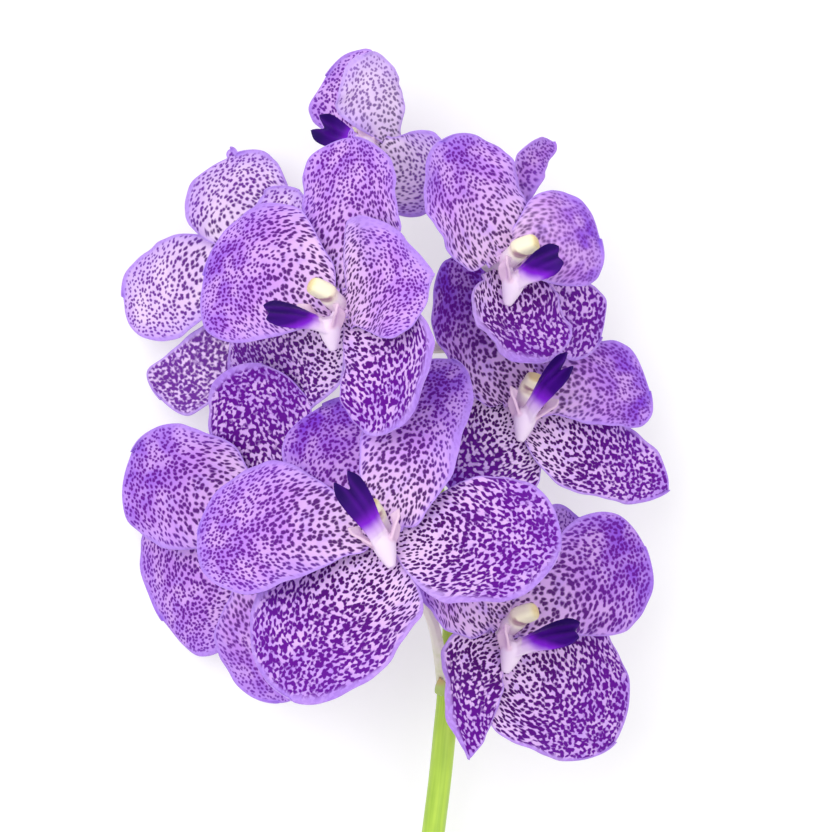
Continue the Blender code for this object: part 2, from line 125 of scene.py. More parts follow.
# Column
COLUMN_START = 2.2
COLUMN_ROOT = 1.2
COLUMN_LENGTH = 10.0
COLUMN_RADIUS = 3.3
COLUMN_FLATNESS = 0.9
COLUMN_LEAN = 24.0
COLUMN_SIDES = 28
COLUMN_STEPS = 26
COLUMN_RINGS = ((0, 0.95), (0.25, 0.95), (0.5, 1.0), (0.7, 1.0), (0.86, 0.86), (1, 0.5))
COLUMN_VOXEL = 0.26
CAP_PLACE = 0.84
CAP_STEPS = 19
CAP_RADII = (3.0, 2.6, 2.4)
CAP_CORNERS = 3.0
CAP_END_ROUNDING = 3.4
# How far the cap of a column is turned round the bloom's upward way, and how much longer it is then
CAP_TURNS = {"a": -34.0, "d": 34.0, "h": 34.0}
TURNED_CAP_LONGER = 2.0
STIGMA_PLACE = 0.6
STIGMA_LENGTH = 0.13
STIGMA_HALF_ANGLE = 0.7
STIGMA_DEPTH = 1.7

# Lip
THROAT_OUT = 5.2
THROAT_DOWN = 7.2
THROAT_RADIUS = 3.2
FOOT_OUT = 2.3
FOOT_DOWN = 2.0
FOOT_RADIUS = 1.3
FOOT_STEPS = 8
SPUR_LENGTH = 7.0
SPUR_BACK = 0.37
SPUR_RINGS = ((-0.42, 0.75), (-0.1, 1.1), (0.35, 0.92), (0.8, 0.55), (1, 0.34))
SPUR_SIDES = 24
SPUR_STEPS = 18
TONGUE_WIDTH = 9.5
TONGUE_THICKNESS = 1.7
TONGUE_RIM_THICKNESS = 0.75
TONGUE_SUNK = 1.0
TONGUE_TOP_UP = 0.35
TONGUE_ARCH = 1.6
TONGUE_HOLLOW = 0.9
TONGUE_NOTCH = 0.24
TONGUE_SHAPE = ((0, 0.62), (0.3, 0.62), (0.62, 0.95), (0.86, 1.0), (1.0, 0.6))
TONGUE_ROWS = 34
TONGUE_COLUMNS = 20
KEEL_HEIGHT = 0.75
KEEL_ASIDE = 0.3
KEEL_HALF_WIDTH = 0.17
# How much of the tongue's paler underside shows along its lower edge, where it hangs sideways
UNDERSIDE = {"a": 1.0, "d": 0.9, "e": 0.25, "h": 0.85}
LOBE_ROOT = 2.2
LOBE_SPREAD = 5.9
LOBE_RISE = 6.3
LOBE_OUT = 4.6
LOBE_THICKNESS = 0.95
LOBE_DISH = 0.7
LOBE_CURL = 2.2
LOBE_SHAPE = ((0, 2.3), (0.5, 3.1), (1, 2.0))
LOBE_ROWS = 14
LOBE_COLUMNS = 10
LIP_RIM_ROUND = 0.25
LIP_VOXEL = 0.32

# Stalk, flower stems and bracts
STALK_SIDES = 30
STALK_STEPS = 12
STALK_KNOT_SWELLING = 0.06
STALK_KNOT_LENGTH = 3.0
STEM_SIDES = 24
STEM_STEPS = 9
STEM_RADIUS = 1.9
STEM_TAPER = 0.1
STEM_SWELLING = 1.12
STEM_RIBS = 6
STEM_RIB_HEIGHT = 0.07
STEM_TWIST = 1.2
KNOB_RADIUS = 2.5
KNOB_BACK = 4.0
KNOB_STEP = 1.6
KNOB_FRONT = 1.8
BRACT_LENGTH = 9.2
BRACT_DOWN = 1.6
BRACT_FLARE = 2.6
BRACT_HALF_WIDTH = 2.6
BRACT_THICKNESS = 0.6
BRACT_CUP = 1.3
BRACT_RIM_ROUND = 0.15
BRACT_ROWS = 16
BRACT_COLUMNS = 10


@dataclass
class Tepal:
    """One sepal or petal. Its reach runs from the heart of the bloom to the tepal's tip. Its claw
    is the half width there, where that isn't the usual one of its kind."""

    reach: tuple
    width: float
    roll: float = 0.0
    arch: float = 3.0
    cup: float = 2.0
    belly: float = 0.62
    skew: float = 0.0
    full: float = 0.85
    blunt: float = 2.3
    sweep: float = 0.0
    nub: float = 0.0
    level: float = 0.0
    claw: float = 0.0


@dataclass
class Bloom:
    """One flower. Its stem path runs from the stalk to a point behind the heart."""

    heart: tuple
    facing: tuple
    up: tuple
    tongue: tuple
    stem: tuple
    neck: float = 17.0
    fork: float = TONGUE_NOTCH


@dataclass
class Look:
    """How a tepal is marked. Spacing, of the spots, and rim, the width of the plain edge, are in
    millimetres, and the rest are shares. Lean makes the rim wider on the right (+) or left (-)."""

    spacing: float = 1.8
    cover: float = 0.35
    net: float = 0.1
    flush: float = 0.35
    pale: float = 0.0
    # Painted shade and deeper colour: this turns the ground deep violet, partly the tepal's own deeper
    # tone and partly painted shade on tepals that lie in the shadow of others
    dark_and_shade: float = 0.0
    soft: float = 0.15
    finer: float = 0.55
    rim: float = 1.1
    lean: float = 0.0


# The blooms, with places from the tables' origin, and each one's tepals
BLOOMS = dict(
    a=Bloom(heart=(-21.6, 32.8, 70), facing=(-0.65, 0.10, 0.75), up=(0.1, 1, -0.1),
            tongue=(-19.5, 4.5, 11), fork=0.07, stem=((-2.5, 12, 31), (-4, 24, 44))),
    b=Bloom(heart=(-43.2, 48.3, 26), facing=(-0.50, 0.20, 0.84), up=(-0.2, 1, 0),
            tongue=(-12, -6, 16), stem=((-9, 57, 31), (-22, 62, 26))),
    c=Bloom(heart=(-9, 81, 42), facing=(-0.95, 0.25, -0.10), up=(0, 0.3, -1), tongue=(-16, 8, -2),
            neck=11, stem=((-9.3, 60, 31), (-3, 69, 34))),
    d=Bloom(heart=(26.1, 46.2, 56), facing=(0.62, 0.10, 0.78), up=(0.1, 1, -0.1),
            tongue=(14.5, 8.5, 12), fork=0.07, neck=8,
            stem=((-4.5, 22, 31), (10, 21, 33), (22, 26, 35), (31, 37, 41))),
    e=Bloom(heart=(31.2, 3.3, 40), facing=(0.40, 0.40, 0.82), up=(0.1, 1, -0.5),
            tongue=(13.5, 18.5, 16), stem=((3, -16, 30), (15, -12, 25))),
    f=Bloom(heart=(-9.3, -34.8, 78), facing=(-0.30, 0.50, 0.81), up=(-0.3, 1, -0.6),
            tongue=(-13, 21, 11), stem=((8.6, -84, 27), (5, -62, 49))),
    g=Bloom(heart=(-46.2, -34.2, 27), facing=(-0.50, -0.10, 0.85), up=(-0.6, -0.8, 0),
            tongue=(-4, 2, 18), stem=((5, -40, 31), (-18, -36, 18))),
    h=Bloom(heart=(26.1, -63.6, 52), facing=(0.60, 0.12, 0.78), up=(0.1, 1, -0.2),
            tongue=(20.5, 7, 12), fork=0.07, stem=((9.8, -77, 28), (13, -70, 36))),
)

TEPALS = dict(
    a=(
        Tepal((2.4, 50, -6), 39, sweep=4.5, skew=0.2, full=0.5, nub=2.6),
        Tepal((-42, 9, -20), 43, sweep=4.5, skew=0.25, full=0.5),
        Tepal((27, 8, 27), 41, sweep=-4.5, skew=-0.45, full=0.5, blunt=1.4),
        Tepal((-31, -27, -45), 36, roll=-20, arch=1, skew=-0.3, full=0.5),
        Tepal((17, -36, 14), 38, sweep=-8, skew=-0.2, full=0.6),
    ),
    b=(
        Tepal((-13.4, 32, -19), 32.5, roll=24, sweep=-4.4, belly=0.48, full=0.42, blunt=2.6,
              nub=2.6),
        Tepal((-47.5, -11.8, -25.4), 32, sweep=-3, skew=0.12, blunt=2.4),
        Tepal((8, 20, 7), 20),
        Tepal((-35, -43.5, -16), 22, roll=-10, sweep=-5.5, belly=0.84, blunt=3.2),
        Tepal((12, -34, 4), 26),
    ),
    c=(
        Tepal((-7, 26.5, 18), 22, roll=-42, arch=-1, sweep=2, skew=-0.2, level=-0.4),
        Tepal((-18.5, 22.5, -17), 30, roll=36, arch=0.4, sweep=3, full=1.1, level=-0.1),
        Tepal((19, -12, 12), 27, roll=-20),
        Tepal((-3, 3, -39), 24),
        Tepal((-14, -17, -5), 17, full=1.1, level=-0.5),
    ),
    d=(
        Tepal((15.2, 37.2, -26), 10.5, sweep=-7, full=0.6),
        Tepal((-19.5, 35.2, 8), 37, sweep=-2.6, belly=0.55, skew=-0.25, full=0.22, claw=7.5),
        Tepal((29.2, 7.5, -12), 30, sweep=-2.5, skew=-0.25, full=0.5),
        Tepal((13, -30, -1), 32, sweep=4, arch=1.5, skew=0.42, full=0.2, level=-0.9, claw=8.0),
        Tepal((30, -22, -25), 26, sweep=2.5, level=-2.4),
    ),
    e=(
        Tepal((10, 34, -39.6), 28),
        Tepal((-21.6, 43.8, 5), 31, sweep=-5, skew=-0.3, full=0.28, claw=5.6),
        Tepal((40, 4.5, -14), 29, sweep=-2, blunt=3),
        Tepal((-22, -24.2, 13.5), 41, skew=0.25, full=0.2, level=-1.3, claw=4.5),
        Tepal((45.6, -26.2, -14), 31, sweep=5, skew=0.35, full=0.25, blunt=1.5),
    ),
    f=(
        Tepal((-19, 37.8, -28.2), 36, arch=1.5, skew=0.15),
        Tepal((-55.5, -1, -14), 43.5, belly=0.59, full=0.7, level=0.6),
        Tepal((20, 51.6, -15), 32, belly=0.52, skew=0.15, full=0.36, claw=5.6),
        Tepal((-26.8, -48.4, 11), 51, cup=1, belly=0.56, skew=-0.25, full=0.4, blunt=2, level=-0.8),
        Tepal((51.3, -4.8, 11), 43, sweep=1, skew=0.15, full=0.4, blunt=2, level=0.7),
    ),
    g=(
        Tepal((-31.8, -29.5, -26.6), 45, sweep=2.5),
        Tepal((4.8, -53.2, -1), 35),
        Tepal((-41, 23, -12), 41, skew=0.25, full=0.45),
        Tepal((34, 10, 6), 34),
        Tepal((0, 50, 16.5), 38, arch=1.3, level=-0.4),
    ),
    h=(
        Tepal((23, 33, -22), 28),
        Tepal((-18, 33, 7), 42, sweep=-4, skew=-0.2, full=0.3, level=0.4, claw=5.6),
        Tepal((43, 24.4, -18), 37, sweep=0),
        Tepal((-10.8, -38, 17), 25.5, sweep=9, arch=1.5, skew=0.4, full=0.3, blunt=1.2, claw=4.2),
        Tepal((34, -35, -14), 50.5, cup=1.2, sweep=2, skew=0.3, full=0.5, belly=0.52, blunt=1.8,
              level=-1.6),
    ),
)

# The stalk's middle line from its cut end to its tip: (x, y, z, radius)
STALK_PATH = (
    (-14, -232, 3.6, 3.6),
    (-6, -190, 7.0, 3.6),
    (2, -150, 13.5, 3.6),
    (6.5, -118, 20, 3.5),
    (8.8, -96, 24, 3.5),
    (11.2, -70, 27, 3.4),
    (11, -50, 29, 3.2),
    (5.5, -22, 30, 3.0),
    (-1.8, 14, 31, 2.8),
    (-7.6, 40, 31, 2.5),
    (-9.6, 62, 31, 2.1),
    (-10.4, 68, 30.6, 1.5),
)

PETAL_LOOK = Look()
DORSAL_LOOK = Look(net=0.2)
LATERAL_LOOK = Look(spacing=1.55, cover=0.35, net=0.75, flush=0.4, pale=0.15, soft=0.1, finer=0.2,
                    rim=1.0)
# What differs from the kind's own look, for a whole bloom or for one of its tepals
BLOOM_LOOKS = dict(
    b=dict(pale=0.8, flush=0.1, spacing=2.0, cover=0.32, rim=1.0, soft=0.16),
    c=dict(pale=0.6, flush=0.15),
)
TEPAL_LOOKS = dict(
    a_dorsal_sepal=dict(rim=0.8),
    a_left_petal=dict(flush=0.6, spacing=1.7, rim=0.9),
    a_right_petal=dict(rim=1.7, lean=-0.8, spacing=1.7),
    a_left_lateral_sepal=dict(pale=0.4),
    a_right_lateral_sepal=dict(rim=1.6, lean=-0.7),
    b_left_lateral_sepal=dict(spacing=1.5, net=0.8, cover=0.4, pale=0.7, rim=0.8),
    c_dorsal_sepal=dict(pale=0.9, cover=0.3, spacing=1.8, rim=0.8, soft=0.14),
    c_left_petal=dict(pale=0.2, cover=0.38, rim=0.7),
    c_right_petal=dict(pale=1.0, cover=0.3, spacing=1.8, rim=0.8, soft=0.2),
    d_dorsal_sepal=dict(soft=0.2, rim=0.7, dark_and_shade=0.25),
    d_left_petal=dict(flush=0.6, soft=0.17, rim=0.9),
    d_right_petal=dict(soft=0.32, flush=0.95, rim=0.6),
    d_left_lateral_sepal=dict(rim=1.7, lean=0.6, dark_and_shade=0.15, cover=0.39, net=0.85),
    d_right_lateral_sepal=dict(rim=0.8, spacing=1.8),
    e_dorsal_sepal=dict(dark_and_shade=0.5),
    e_left_petal=dict(dark_and_shade=0.2, cover=0.39, net=0.3, rim=0.4, soft=0.15, flush=0.9),
    e_right_petal=dict(soft=0.22, flush=0.85, rim=0.7, cover=0.37),
    e_left_lateral_sepal=dict(rim=0.6, net=1.0, cover=0.34, pale=0.5, flush=0.6),
    e_right_lateral_sepal=dict(rim=0.8, pale=0.25),
    f_dorsal_sepal=dict(flush=0.8, dark_and_shade=0.25, rim=0.8),
    f_left_petal=dict(rim=1.2, cover=0.38, flush=0.45),
    f_right_petal=dict(spacing=1.7, flush=0.75, rim=1.4, lean=0.7, cover=0.38),
    f_left_lateral_sepal=dict(rim=1.8),
    f_right_lateral_sepal=dict(rim=1.4, lean=0.6),
    g_right_petal=dict(flush=0.7, rim=0.9, spacing=1.9),
    g_left_petal=dict(rim=0.8, flush=0.5, soft=0.2),
    g_right_lateral_sepal=dict(dark_and_shade=0.05, rim=1.0, lean=-0.6, spacing=1.6, net=0.9),
    h_right_petal=dict(flush=0.8, dark_and_shade=0.12, net=0.4, rim=0.8, spacing=1.9),
    h_left_lateral_sepal=dict(rim=1.5, lean=0.8, net=1.0, cover=0.4),
    h_right_lateral_sepal=dict(rim=0.8, pale=0.2, cover=0.37),
)


def srgb(red, green, blue):
    """Linear colour from the 0 to 255 values that a picture shows."""
    shares = (value / 255 for value in (red, green, blue))
    return tuple(s / 12.92 if s <= 0.04045 else ((s + 0.055) / 1.055) ** 2.4 for s in shares) + (1.0,)


def unit(vector):
    vector = np.asarray(vector, float)
    return vector / np.linalg.norm(vector)


def square_to(vector, axis):
    """The direction of a vector once its share along the axis is taken away."""
    vector = np.asarray(vector, float)
    return unit(vector - axis * np.dot(vector, axis))


def turned(vector, axis, degrees):
    """A vector turned about an axis that it is square to."""
    angle = math.radians(degrees)
    return vector * math.cos(angle) + np.cross(axis, vector) * math.sin(angle)


def smooth(value):
    """Eased step from 0 to 1."""
    value = np.clip(value, 0.0, 1.0)
    return value * value * (3 - 2 * value)


def turns_round(sides):
    """The angles of points set evenly round a ring."""
    return 2 * np.pi * np.arange(sides) / sides


def curve_through(points, steps):
    """Points on a smooth curve through the given ones, which may hold a radius too."""
    points = np.asarray(points, float)
    padded = np.vstack((points[:1], points, points[-1:]))
    shares = np.arange(steps)[:, None] / steps
    curve = []
    for p0, p1, p2, p3 in zip(padded, padded[1:], padded[2:], padded[3:]):
        bend = 2 * p0 - 5 * p1 + 4 * p2 - p3
        twist = 3 * p1 - p0 - 3 * p2 + p3
        curve.append(0.5 * (2 * p1 + (p2 - p0) * shares + bend * shares**2 + twist * shares**3))
    return np.vstack(curve + [points[-1:]])


def profile(table, shares):
    """A smooth line through a table of (share, value), read at the given shares."""
    line = curve_through(table, PROFILE_STEPS)
    return np.interp(shares, line[:, 0], line[:, 1])


def grid_shares(rows, columns):
    """Shares along a blade from 0 to 1, in a column, and across it from -1 to 1, in a row."""
    return np.linspace(0, 1, rows + 1)[:, None], np.linspace(-1, 1, columns + 1)[None, :]


def grid_from(points, *spans):
    """Points of a grid: a start, and for each span its way times its lengths."""
    for way, lengths in spans:
        points = points + way * lengths[:, :, None]
    return points


def triples(*values):
    """Three values per point, from arrays and numbers that fill one shape together."""
    return np.stack(np.broadcast_arrays(*values), axis=-1)


@dataclass
class Shell:
    """Points, faces and point attributes of a mesh while it is put together."""

    points: np.ndarray
    faces: list
    attributes: dict


def grid_normals(grid):
    """Unit normals at the points of a grid whose rows run along a blade and columns across it."""
    along = np.gradient(grid, axis=0)
    across = np.gradient(grid, axis=1)
    normals = np.cross(across, along)
    return normals / np.maximum(np.linalg.norm(normals, axis=2, keepdims=True), 1e-9)


def edge_walk(rows, columns):
    """Rows and columns of a grid's outer points, in order round it."""
    walk = [(0, column) for column in range(columns)]
    walk += [(row, columns - 1) for row in range(1, rows)]
    walk += [(rows - 1, column) for column in range(columns - 2, -1, -1)]
    walk += [(row, 0) for row in range(rows - 2, 0, -1)]
    return np.array(walk)


def new_sheet(grid, thickness, rounding, settle=False, **attributes):
    """A closed blade about a grid of points, with a rounded rim.

    Thickness is a number or one number per point. Each attribute holds three values per point of the
    grid, or for all of it; the attribute called face is added: 1 in front, 0 behind.
    """
    rows, columns = grid.shape[:2]
    half = grid_normals(grid) * np.broadcast_to(thickness, (rows, columns))[:, :, None] / 2
    front, back = grid + half, grid - half
    if settle:
        rest_on_table(front, back)
    walk = edge_walk(rows, columns)
    inner = np.clip(walk, 1, (rows - 2, columns - 2))
    rim = (front + back)[walk[:, 0], walk[:, 1]] / 2
    outwards = rim - grid[inner[:, 0], inner[:, 1]]
    rim = rim + outwards / np.maximum(np.linalg.norm(outwards, axis=1, keepdims=True), 1e-9) * rounding
    if settle:
        rim[:, 2] = np.maximum(rim[:, 2], 0)
    count = rows * columns
    index = np.arange(count).reshape(rows, columns)
    a, b, c, d = index[:-1, :-1], index[:-1, 1:], index[1:, 1:], index[1:, :-1]
    quads = np.stack((a, b, c, d), axis=-1).reshape(-1, 4)
    here = index[walk[:, 0], walk[:, 1]]
    after = np.roll(here, -1)
    rim_here = 2 * count + np.arange(len(walk))
    rim_after = np.roll(rim_here, -1)
    faces = [quads, quads[:, ::-1] + count]
    faces.append(np.stack((after, here, rim_here, rim_after), axis=-1))
    faces.append(np.stack((rim_after, rim_here, here + count, after + count), axis=-1))
    values = {}
    for name, value in attributes.items():
        flat = np.broadcast_to(value, (rows, columns, 3)).reshape(count, 3)
        values[name] = np.vstack((flat, flat, flat[here]))
    side = np.concatenate((np.ones(count), np.zeros(count), np.full(len(walk), 0.5)))
    values["face"] = triples(side, side, side)
    points = np.vstack((front.reshape(-1, 3), back.reshape(-1, 3), rim))
    return Shell(points, np.vstack(faces), values)


def rest_on_table(front, back):
    """Lifts the two faces of a blade that would dip below the table, so that it lies flat on it."""
    upwards = front[:, :, 2] >= back[:, :, 2]
    thickness = np.abs(front[:, :, 2] - back[:, :, 2])
    low = np.maximum(np.where(upwards, back[:, :, 2], front[:, :, 2]), 0)
    high = np.where(upwards, front[:, :, 2], back[:, :, 2])
    high = np.maximum(high, low + np.minimum(thickness, THINNEST_ON_TABLE))
    front[:, :, 2] = np.where(upwards, high, low)
    back[:, :, 2] = np.where(upwards, low, high)


def new_loft(rings, **attributes):
    """A closed body through rings of points, all of one count, with flat ends."""
    rings = np.asarray(rings)
    count, sides = rings.shape[:2]
    index = np.arange(count * sides).reshape(count, sides)
    beside = np.roll(index, -1, axis=1)
    quads = np.stack((index[:-1], beside[:-1], beside[1:], index[1:]), axis=-1).reshape(-1, 4)
    faces = [tuple(quad) for quad in quads]
    faces.append(tuple(index[0][::-1]))
    faces.append(tuple(index[-1]))
    values = {name: np.broadcast_to(value, (count, sides, 3)).reshape(-1, 3)
              for name, value in attributes.items()}
    return Shell(rings.reshape(-1, 3), faces, values)


def ring_points(centre, wide, tall, sides, sizes=1.0):
    """An ellipse of points about a centre, with its half axes given as vectors."""
    turns = turns_round(sides)
    ring = np.cos(turns)[:, None] * wide + np.sin(turns)[:, None] * tall
    return centre + ring * np.broadcast_to(sizes, (sides,))[:, None]


def tapered_rings(start, way, wide, tall, shares, reaches, sides):
    """Rings at shares of a way, as far out as the reaches say."""
    return [ring_points(start + way * share, wide * reach, tall * reach, sides)
            for share, reach in zip(shares, reaches)]


def add_attributes(mesh, attributes):
    """Stores three values at each of a mesh's points."""
    for name, values in attributes.items():
        kept = mesh.attributes.new(name, "FLOAT_VECTOR", "POINT")
        kept.data.foreach_set("vector", np.asarray(values, np.float32).ravel())


def linked(name, data):
    """A new object of the scene."""
    thing = bpy.data.objects.new(name, data)
    bpy.context.scene.collection.objects.link(thing)
    return thing


def new_object(name, shells, material):
    """One mesh object from shells in millimetres, with its faces turned outwards."""
    points = np.vstack([shell.points for shell in shells]) + TO_FRAME
    faces = []
    start = 0
    for shell in shells:
        faces += [tuple(int(i) + start for i in face) for face in shell.faces]
        start += len(shell.points)
    mesh = bpy.data.meshes.new(name)
    mesh.from_pydata(points * MM, [], faces)
    names = shells[0].attributes
    add_attributes(mesh, {key: np.vstack([s.attributes[key] for s in shells]) for key in names})
    shape = bmesh.new()
    shape.from_mesh(mesh)
    bmesh.ops.recalc_face_normals(shape, faces=shape.faces)
    shape.to_mesh(mesh)
    shape.free()
    mesh.polygons.foreach_set("use_smooth", [True] * len(mesh.polygons))
    mesh.materials.append(material)
    return linked(name, mesh)


def fuse(piece, voxel):
    """Makes one closed skin of a piece's overlapping shells, and smooths it."""
    remesh = piece.modifiers.new("fuse", "REMESH")
    remesh.mode = "VOXEL"
    remesh.voxel_size = voxel * MM
    remesh.use_smooth_shade = True
    ease = piece.modifiers.new("ease", "SMOOTH")
    ease.factor = 0.5
    ease.iterations = FUSE_SMOOTHINGS
    graph = bpy.context.evaluated_depsgraph_get()
    fused = bpy.data.meshes.new_from_object(piece.evaluated_get(graph))
    piece.modifiers.clear()
    fused.name = piece.name
    piece.data = fused
    points = np.empty(len(fused.vertices) * 3)
    fused.vertices.foreach_get("co", points)
    return points.reshape(-1, 3) / MM - TO_FRAME


def stand_for(piece, node):
    """Puts a piece under the root body, and hides the CAD node whose place it takes, if there is one.
    """
    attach(piece, "root")
    if node:
        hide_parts(node)


def half_width(tepal, petal, s, side):
    """Half the width of a tepal at shares s of its length, on its left (-1) or right (1)."""
    half = tepal.width / 2
    belly = tepal.belly - np.maximum(0.0, tepal.skew * side)
    claw = tepal.claw or (PETAL_CLAW_HALF_WIDTH if petal else CLAW_HALF_WIDTH)
    full = tepal.full
    if petal:
        full = full * (1 - PETAL_BASE_FULLER * np.exp(-((s / PETAL_BASE_SHARE) ** 2)))
    near = claw + (half - claw) * smooth(s / belly) ** full
    beyond = np.clip((s - belly) / (1 - belly), 0, 1)
    far = half * (1 - beyond**tepal.blunt) ** (1 / min(tepal.blunt, 2.0))
    tip = TIP_HALF_WIDTH if tepal.nub else FINE_TIP_HALF_WIDTH
    return np.where(s < belly, near, np.maximum(far, tip))


def tepal_shares(tepal, length):
    """Shares of the length at which a tepal's rows lie, from its root to its tip or nub."""
    root = -np.array(CLAW_ROOT_ROWS) * CLAW_ROOT / length
    rows = (1 - np.cos(np.pi * np.arange(TEPAL_ROWS + 1) / TEPAL_ROWS)) / 2
    nub = 1 + np.array(NUB_ROWS) * tepal.nub / length if tepal.nub else []
    return np.concatenate((root, rows, nub))


def margin_distance(flat):
    """How far each point of a flattened tepal lies from its outline, in the plane."""
    rows, columns = flat.shape[:2]
    line = np.vstack((flat[:, 0], flat[-1], flat[::-1, -1]))
    steps = np.linspace(0, 1, 4, endpoint=False)[:, None, None]
    line = (line[:-1] + (line[1:] - line[:-1]) * steps).reshape(-1, 2)
    gaps = flat.reshape(-1, 1, 2) - line[None]
    return np.sqrt((gaps**2).sum(axis=2).min(axis=1)).reshape(rows, columns)


def rim_share(margin, inside, u, look, number):
    """How deep a point lies in its tepal, where 1 is the inner end of the plain rim."""
    uneven = 1 + RIM_UNEVEN * np.sin(RIM_WAVES * inside + number + np.where(u < 0, 2.0, 0.0))
    width = look.rim * (1 + look.lean * u) * uneven
    return margin / (width * (RIM_AT_BASE + (1 - RIM_AT_BASE) * smooth((inside - 0.1) / 0.35)))


def vein_cells(aside, ahead, length, look, number):
    """Coordinates across and along the veins, counted in spots.

    Near the claw the veins run close together, so the cells are narrow there. Beyond VEIN_EVEN they
    keep one width, and towards the tip they get finer.
    """
    reach = np.hypot(aside, ahead + VEIN_BACK)
    angle = np.arctan2(aside, ahead + VEIN_BACK)
    share = reach / VEIN_EVEN
    fan = np.where(share < 1, share**VEIN_FAN_INSIDE, share**VEIN_FAN_OUTSIDE) * VEIN_EVEN
    late = (reach / length - SPOT_FINER_FROM) / (1 - SPOT_FINER_FROM)
    inner = np.clip(late, 0, 1)
    gain = 1 + look.finer * smooth(late)
    extra = inner**3 - inner**4 / 2 + np.maximum(late - 1, 0)
    along = reach + look.finer * length * (1 - SPOT_FINER_FROM) * extra
    shift = SPOTS_APART * number
    across = angle * fan * gain / look.spacing + shift
    return across, along / look.spacing / SPOT_STRETCH + shift


def new_tepal(name, bloom, tepal, number, material):
    """One sepal or petal, as a closed blade with the values that its markings need."""
    petal = "petal" in name
    look = look_of(name)
    heart = np.array(bloom.heart, float)
    facing = unit(bloom.facing)
    reach = np.array(tepal.reach, float)
    level = tepal.level + (PETAL_LEVEL if petal else SEPAL_LEVEL)
    claw = heart + facing * level + square_to(reach, facing) * CLAW_START
    along = unit(heart + reach - claw)
    length = np.linalg.norm(heart + reach - claw)
    out = turned(square_to(facing, along), along, tepal.roll)
    across = np.cross(along, out)
    s = tepal_shares(tepal, length)[:, None]
    u = np.linspace(-1, 1, TEPAL_COLUMNS + 1)[None, :]
    side = np.where(u > 0, 1.0, -1.0)
    half = half_width(tepal, petal, s, side)
    if tepal.nub:
        past = np.clip((s - 1) * length / tepal.nub, 0, 1)
        half = half * np.sqrt(1 - 0.96 * past**2.5)
    inside = np.clip(s, 0.0, 1.0)
    spread = u * half / (tepal.width / 2)
    beat = 2 * np.pi * WAVE_BEATS * inside + np.where(u < 0, WAVE_SIDES_APART, 0.0)
    bow = 4 * inside * (1 - inside)
    lift = tepal.arch * bow + tepal.cup * spread**2
    lift = lift + WAVE * smooth(inside / 0.45) * np.abs(u) ** 2.5 * np.sin(beat)
    aside = u * half
    ahead = s * length + 0 * u
    lift = lift + fine_relief(aside, ahead, inside, u, number)
    grid = grid_from(claw, (along, ahead), (across, aside + tepal.sweep * bow), (out, lift))
    margin = margin_distance(np.stack((aside, ahead), axis=-1))
    thickness = TEPAL_RIM_THICKNESS
    thickness = thickness + (TEPAL_THICKNESS - thickness) * smooth(margin / TEPAL_RIM_TAPER)
    shell = new_sheet(
        grid, thickness, TEPAL_RIM_ROUND, settle=True,
        vein=triples(*vein_cells(aside, ahead, length, look, number), 0),
        place=triples(inside, rim_share(margin, inside, u, look, number), 0),
        look=(look.cover, look.net, look.flush),
        tone=(look.pale, look.dark_and_shade, look.soft),
    )
    piece = new_object(f"tepal_{name}", [shell], material)
    stand_for(piece, f"bloom_{name}")


def fine_relief(aside, ahead, inside, u, number):
    """Small lifts of a tepal's surface: a ruffled margin, soft quilting and the midrib's groove."""
    ruffle = np.sin(2 * np.pi * RUFFLE_WAVES * inside + 1.7 * number + np.where(u < 0, 0.9, 0.0))
    lift = RUFFLE * smooth(inside / 0.4) * np.abs(u) ** 4 * ruffle
    q1, q2, q3, q4 = QUILT_LENGTHS
    quilt = np.sin(aside / q1 + number) * np.sin(ahead / q2 + 2 * number)
    quilt = quilt + np.sin(aside / q3 - ahead / q4 + 3 * number)
    lift = lift + QUILT * quilt * smooth(inside / 0.3)
    groove = np.exp(-((aside / MIDRIB_HALF_WIDTH) ** 2)) * (1 - smooth((inside - 0.1) / 0.75))
    return lift - MIDRIB_DEPTH * groove * smooth(inside / 0.12)


def bloom_axes(bloom):
    """Facing, up and right of a bloom: its column leans up and its lip hangs below."""
    facing = unit(bloom.facing)
    up = square_to(bloom.up, facing)
    return facing, up, np.cross(up, facing)


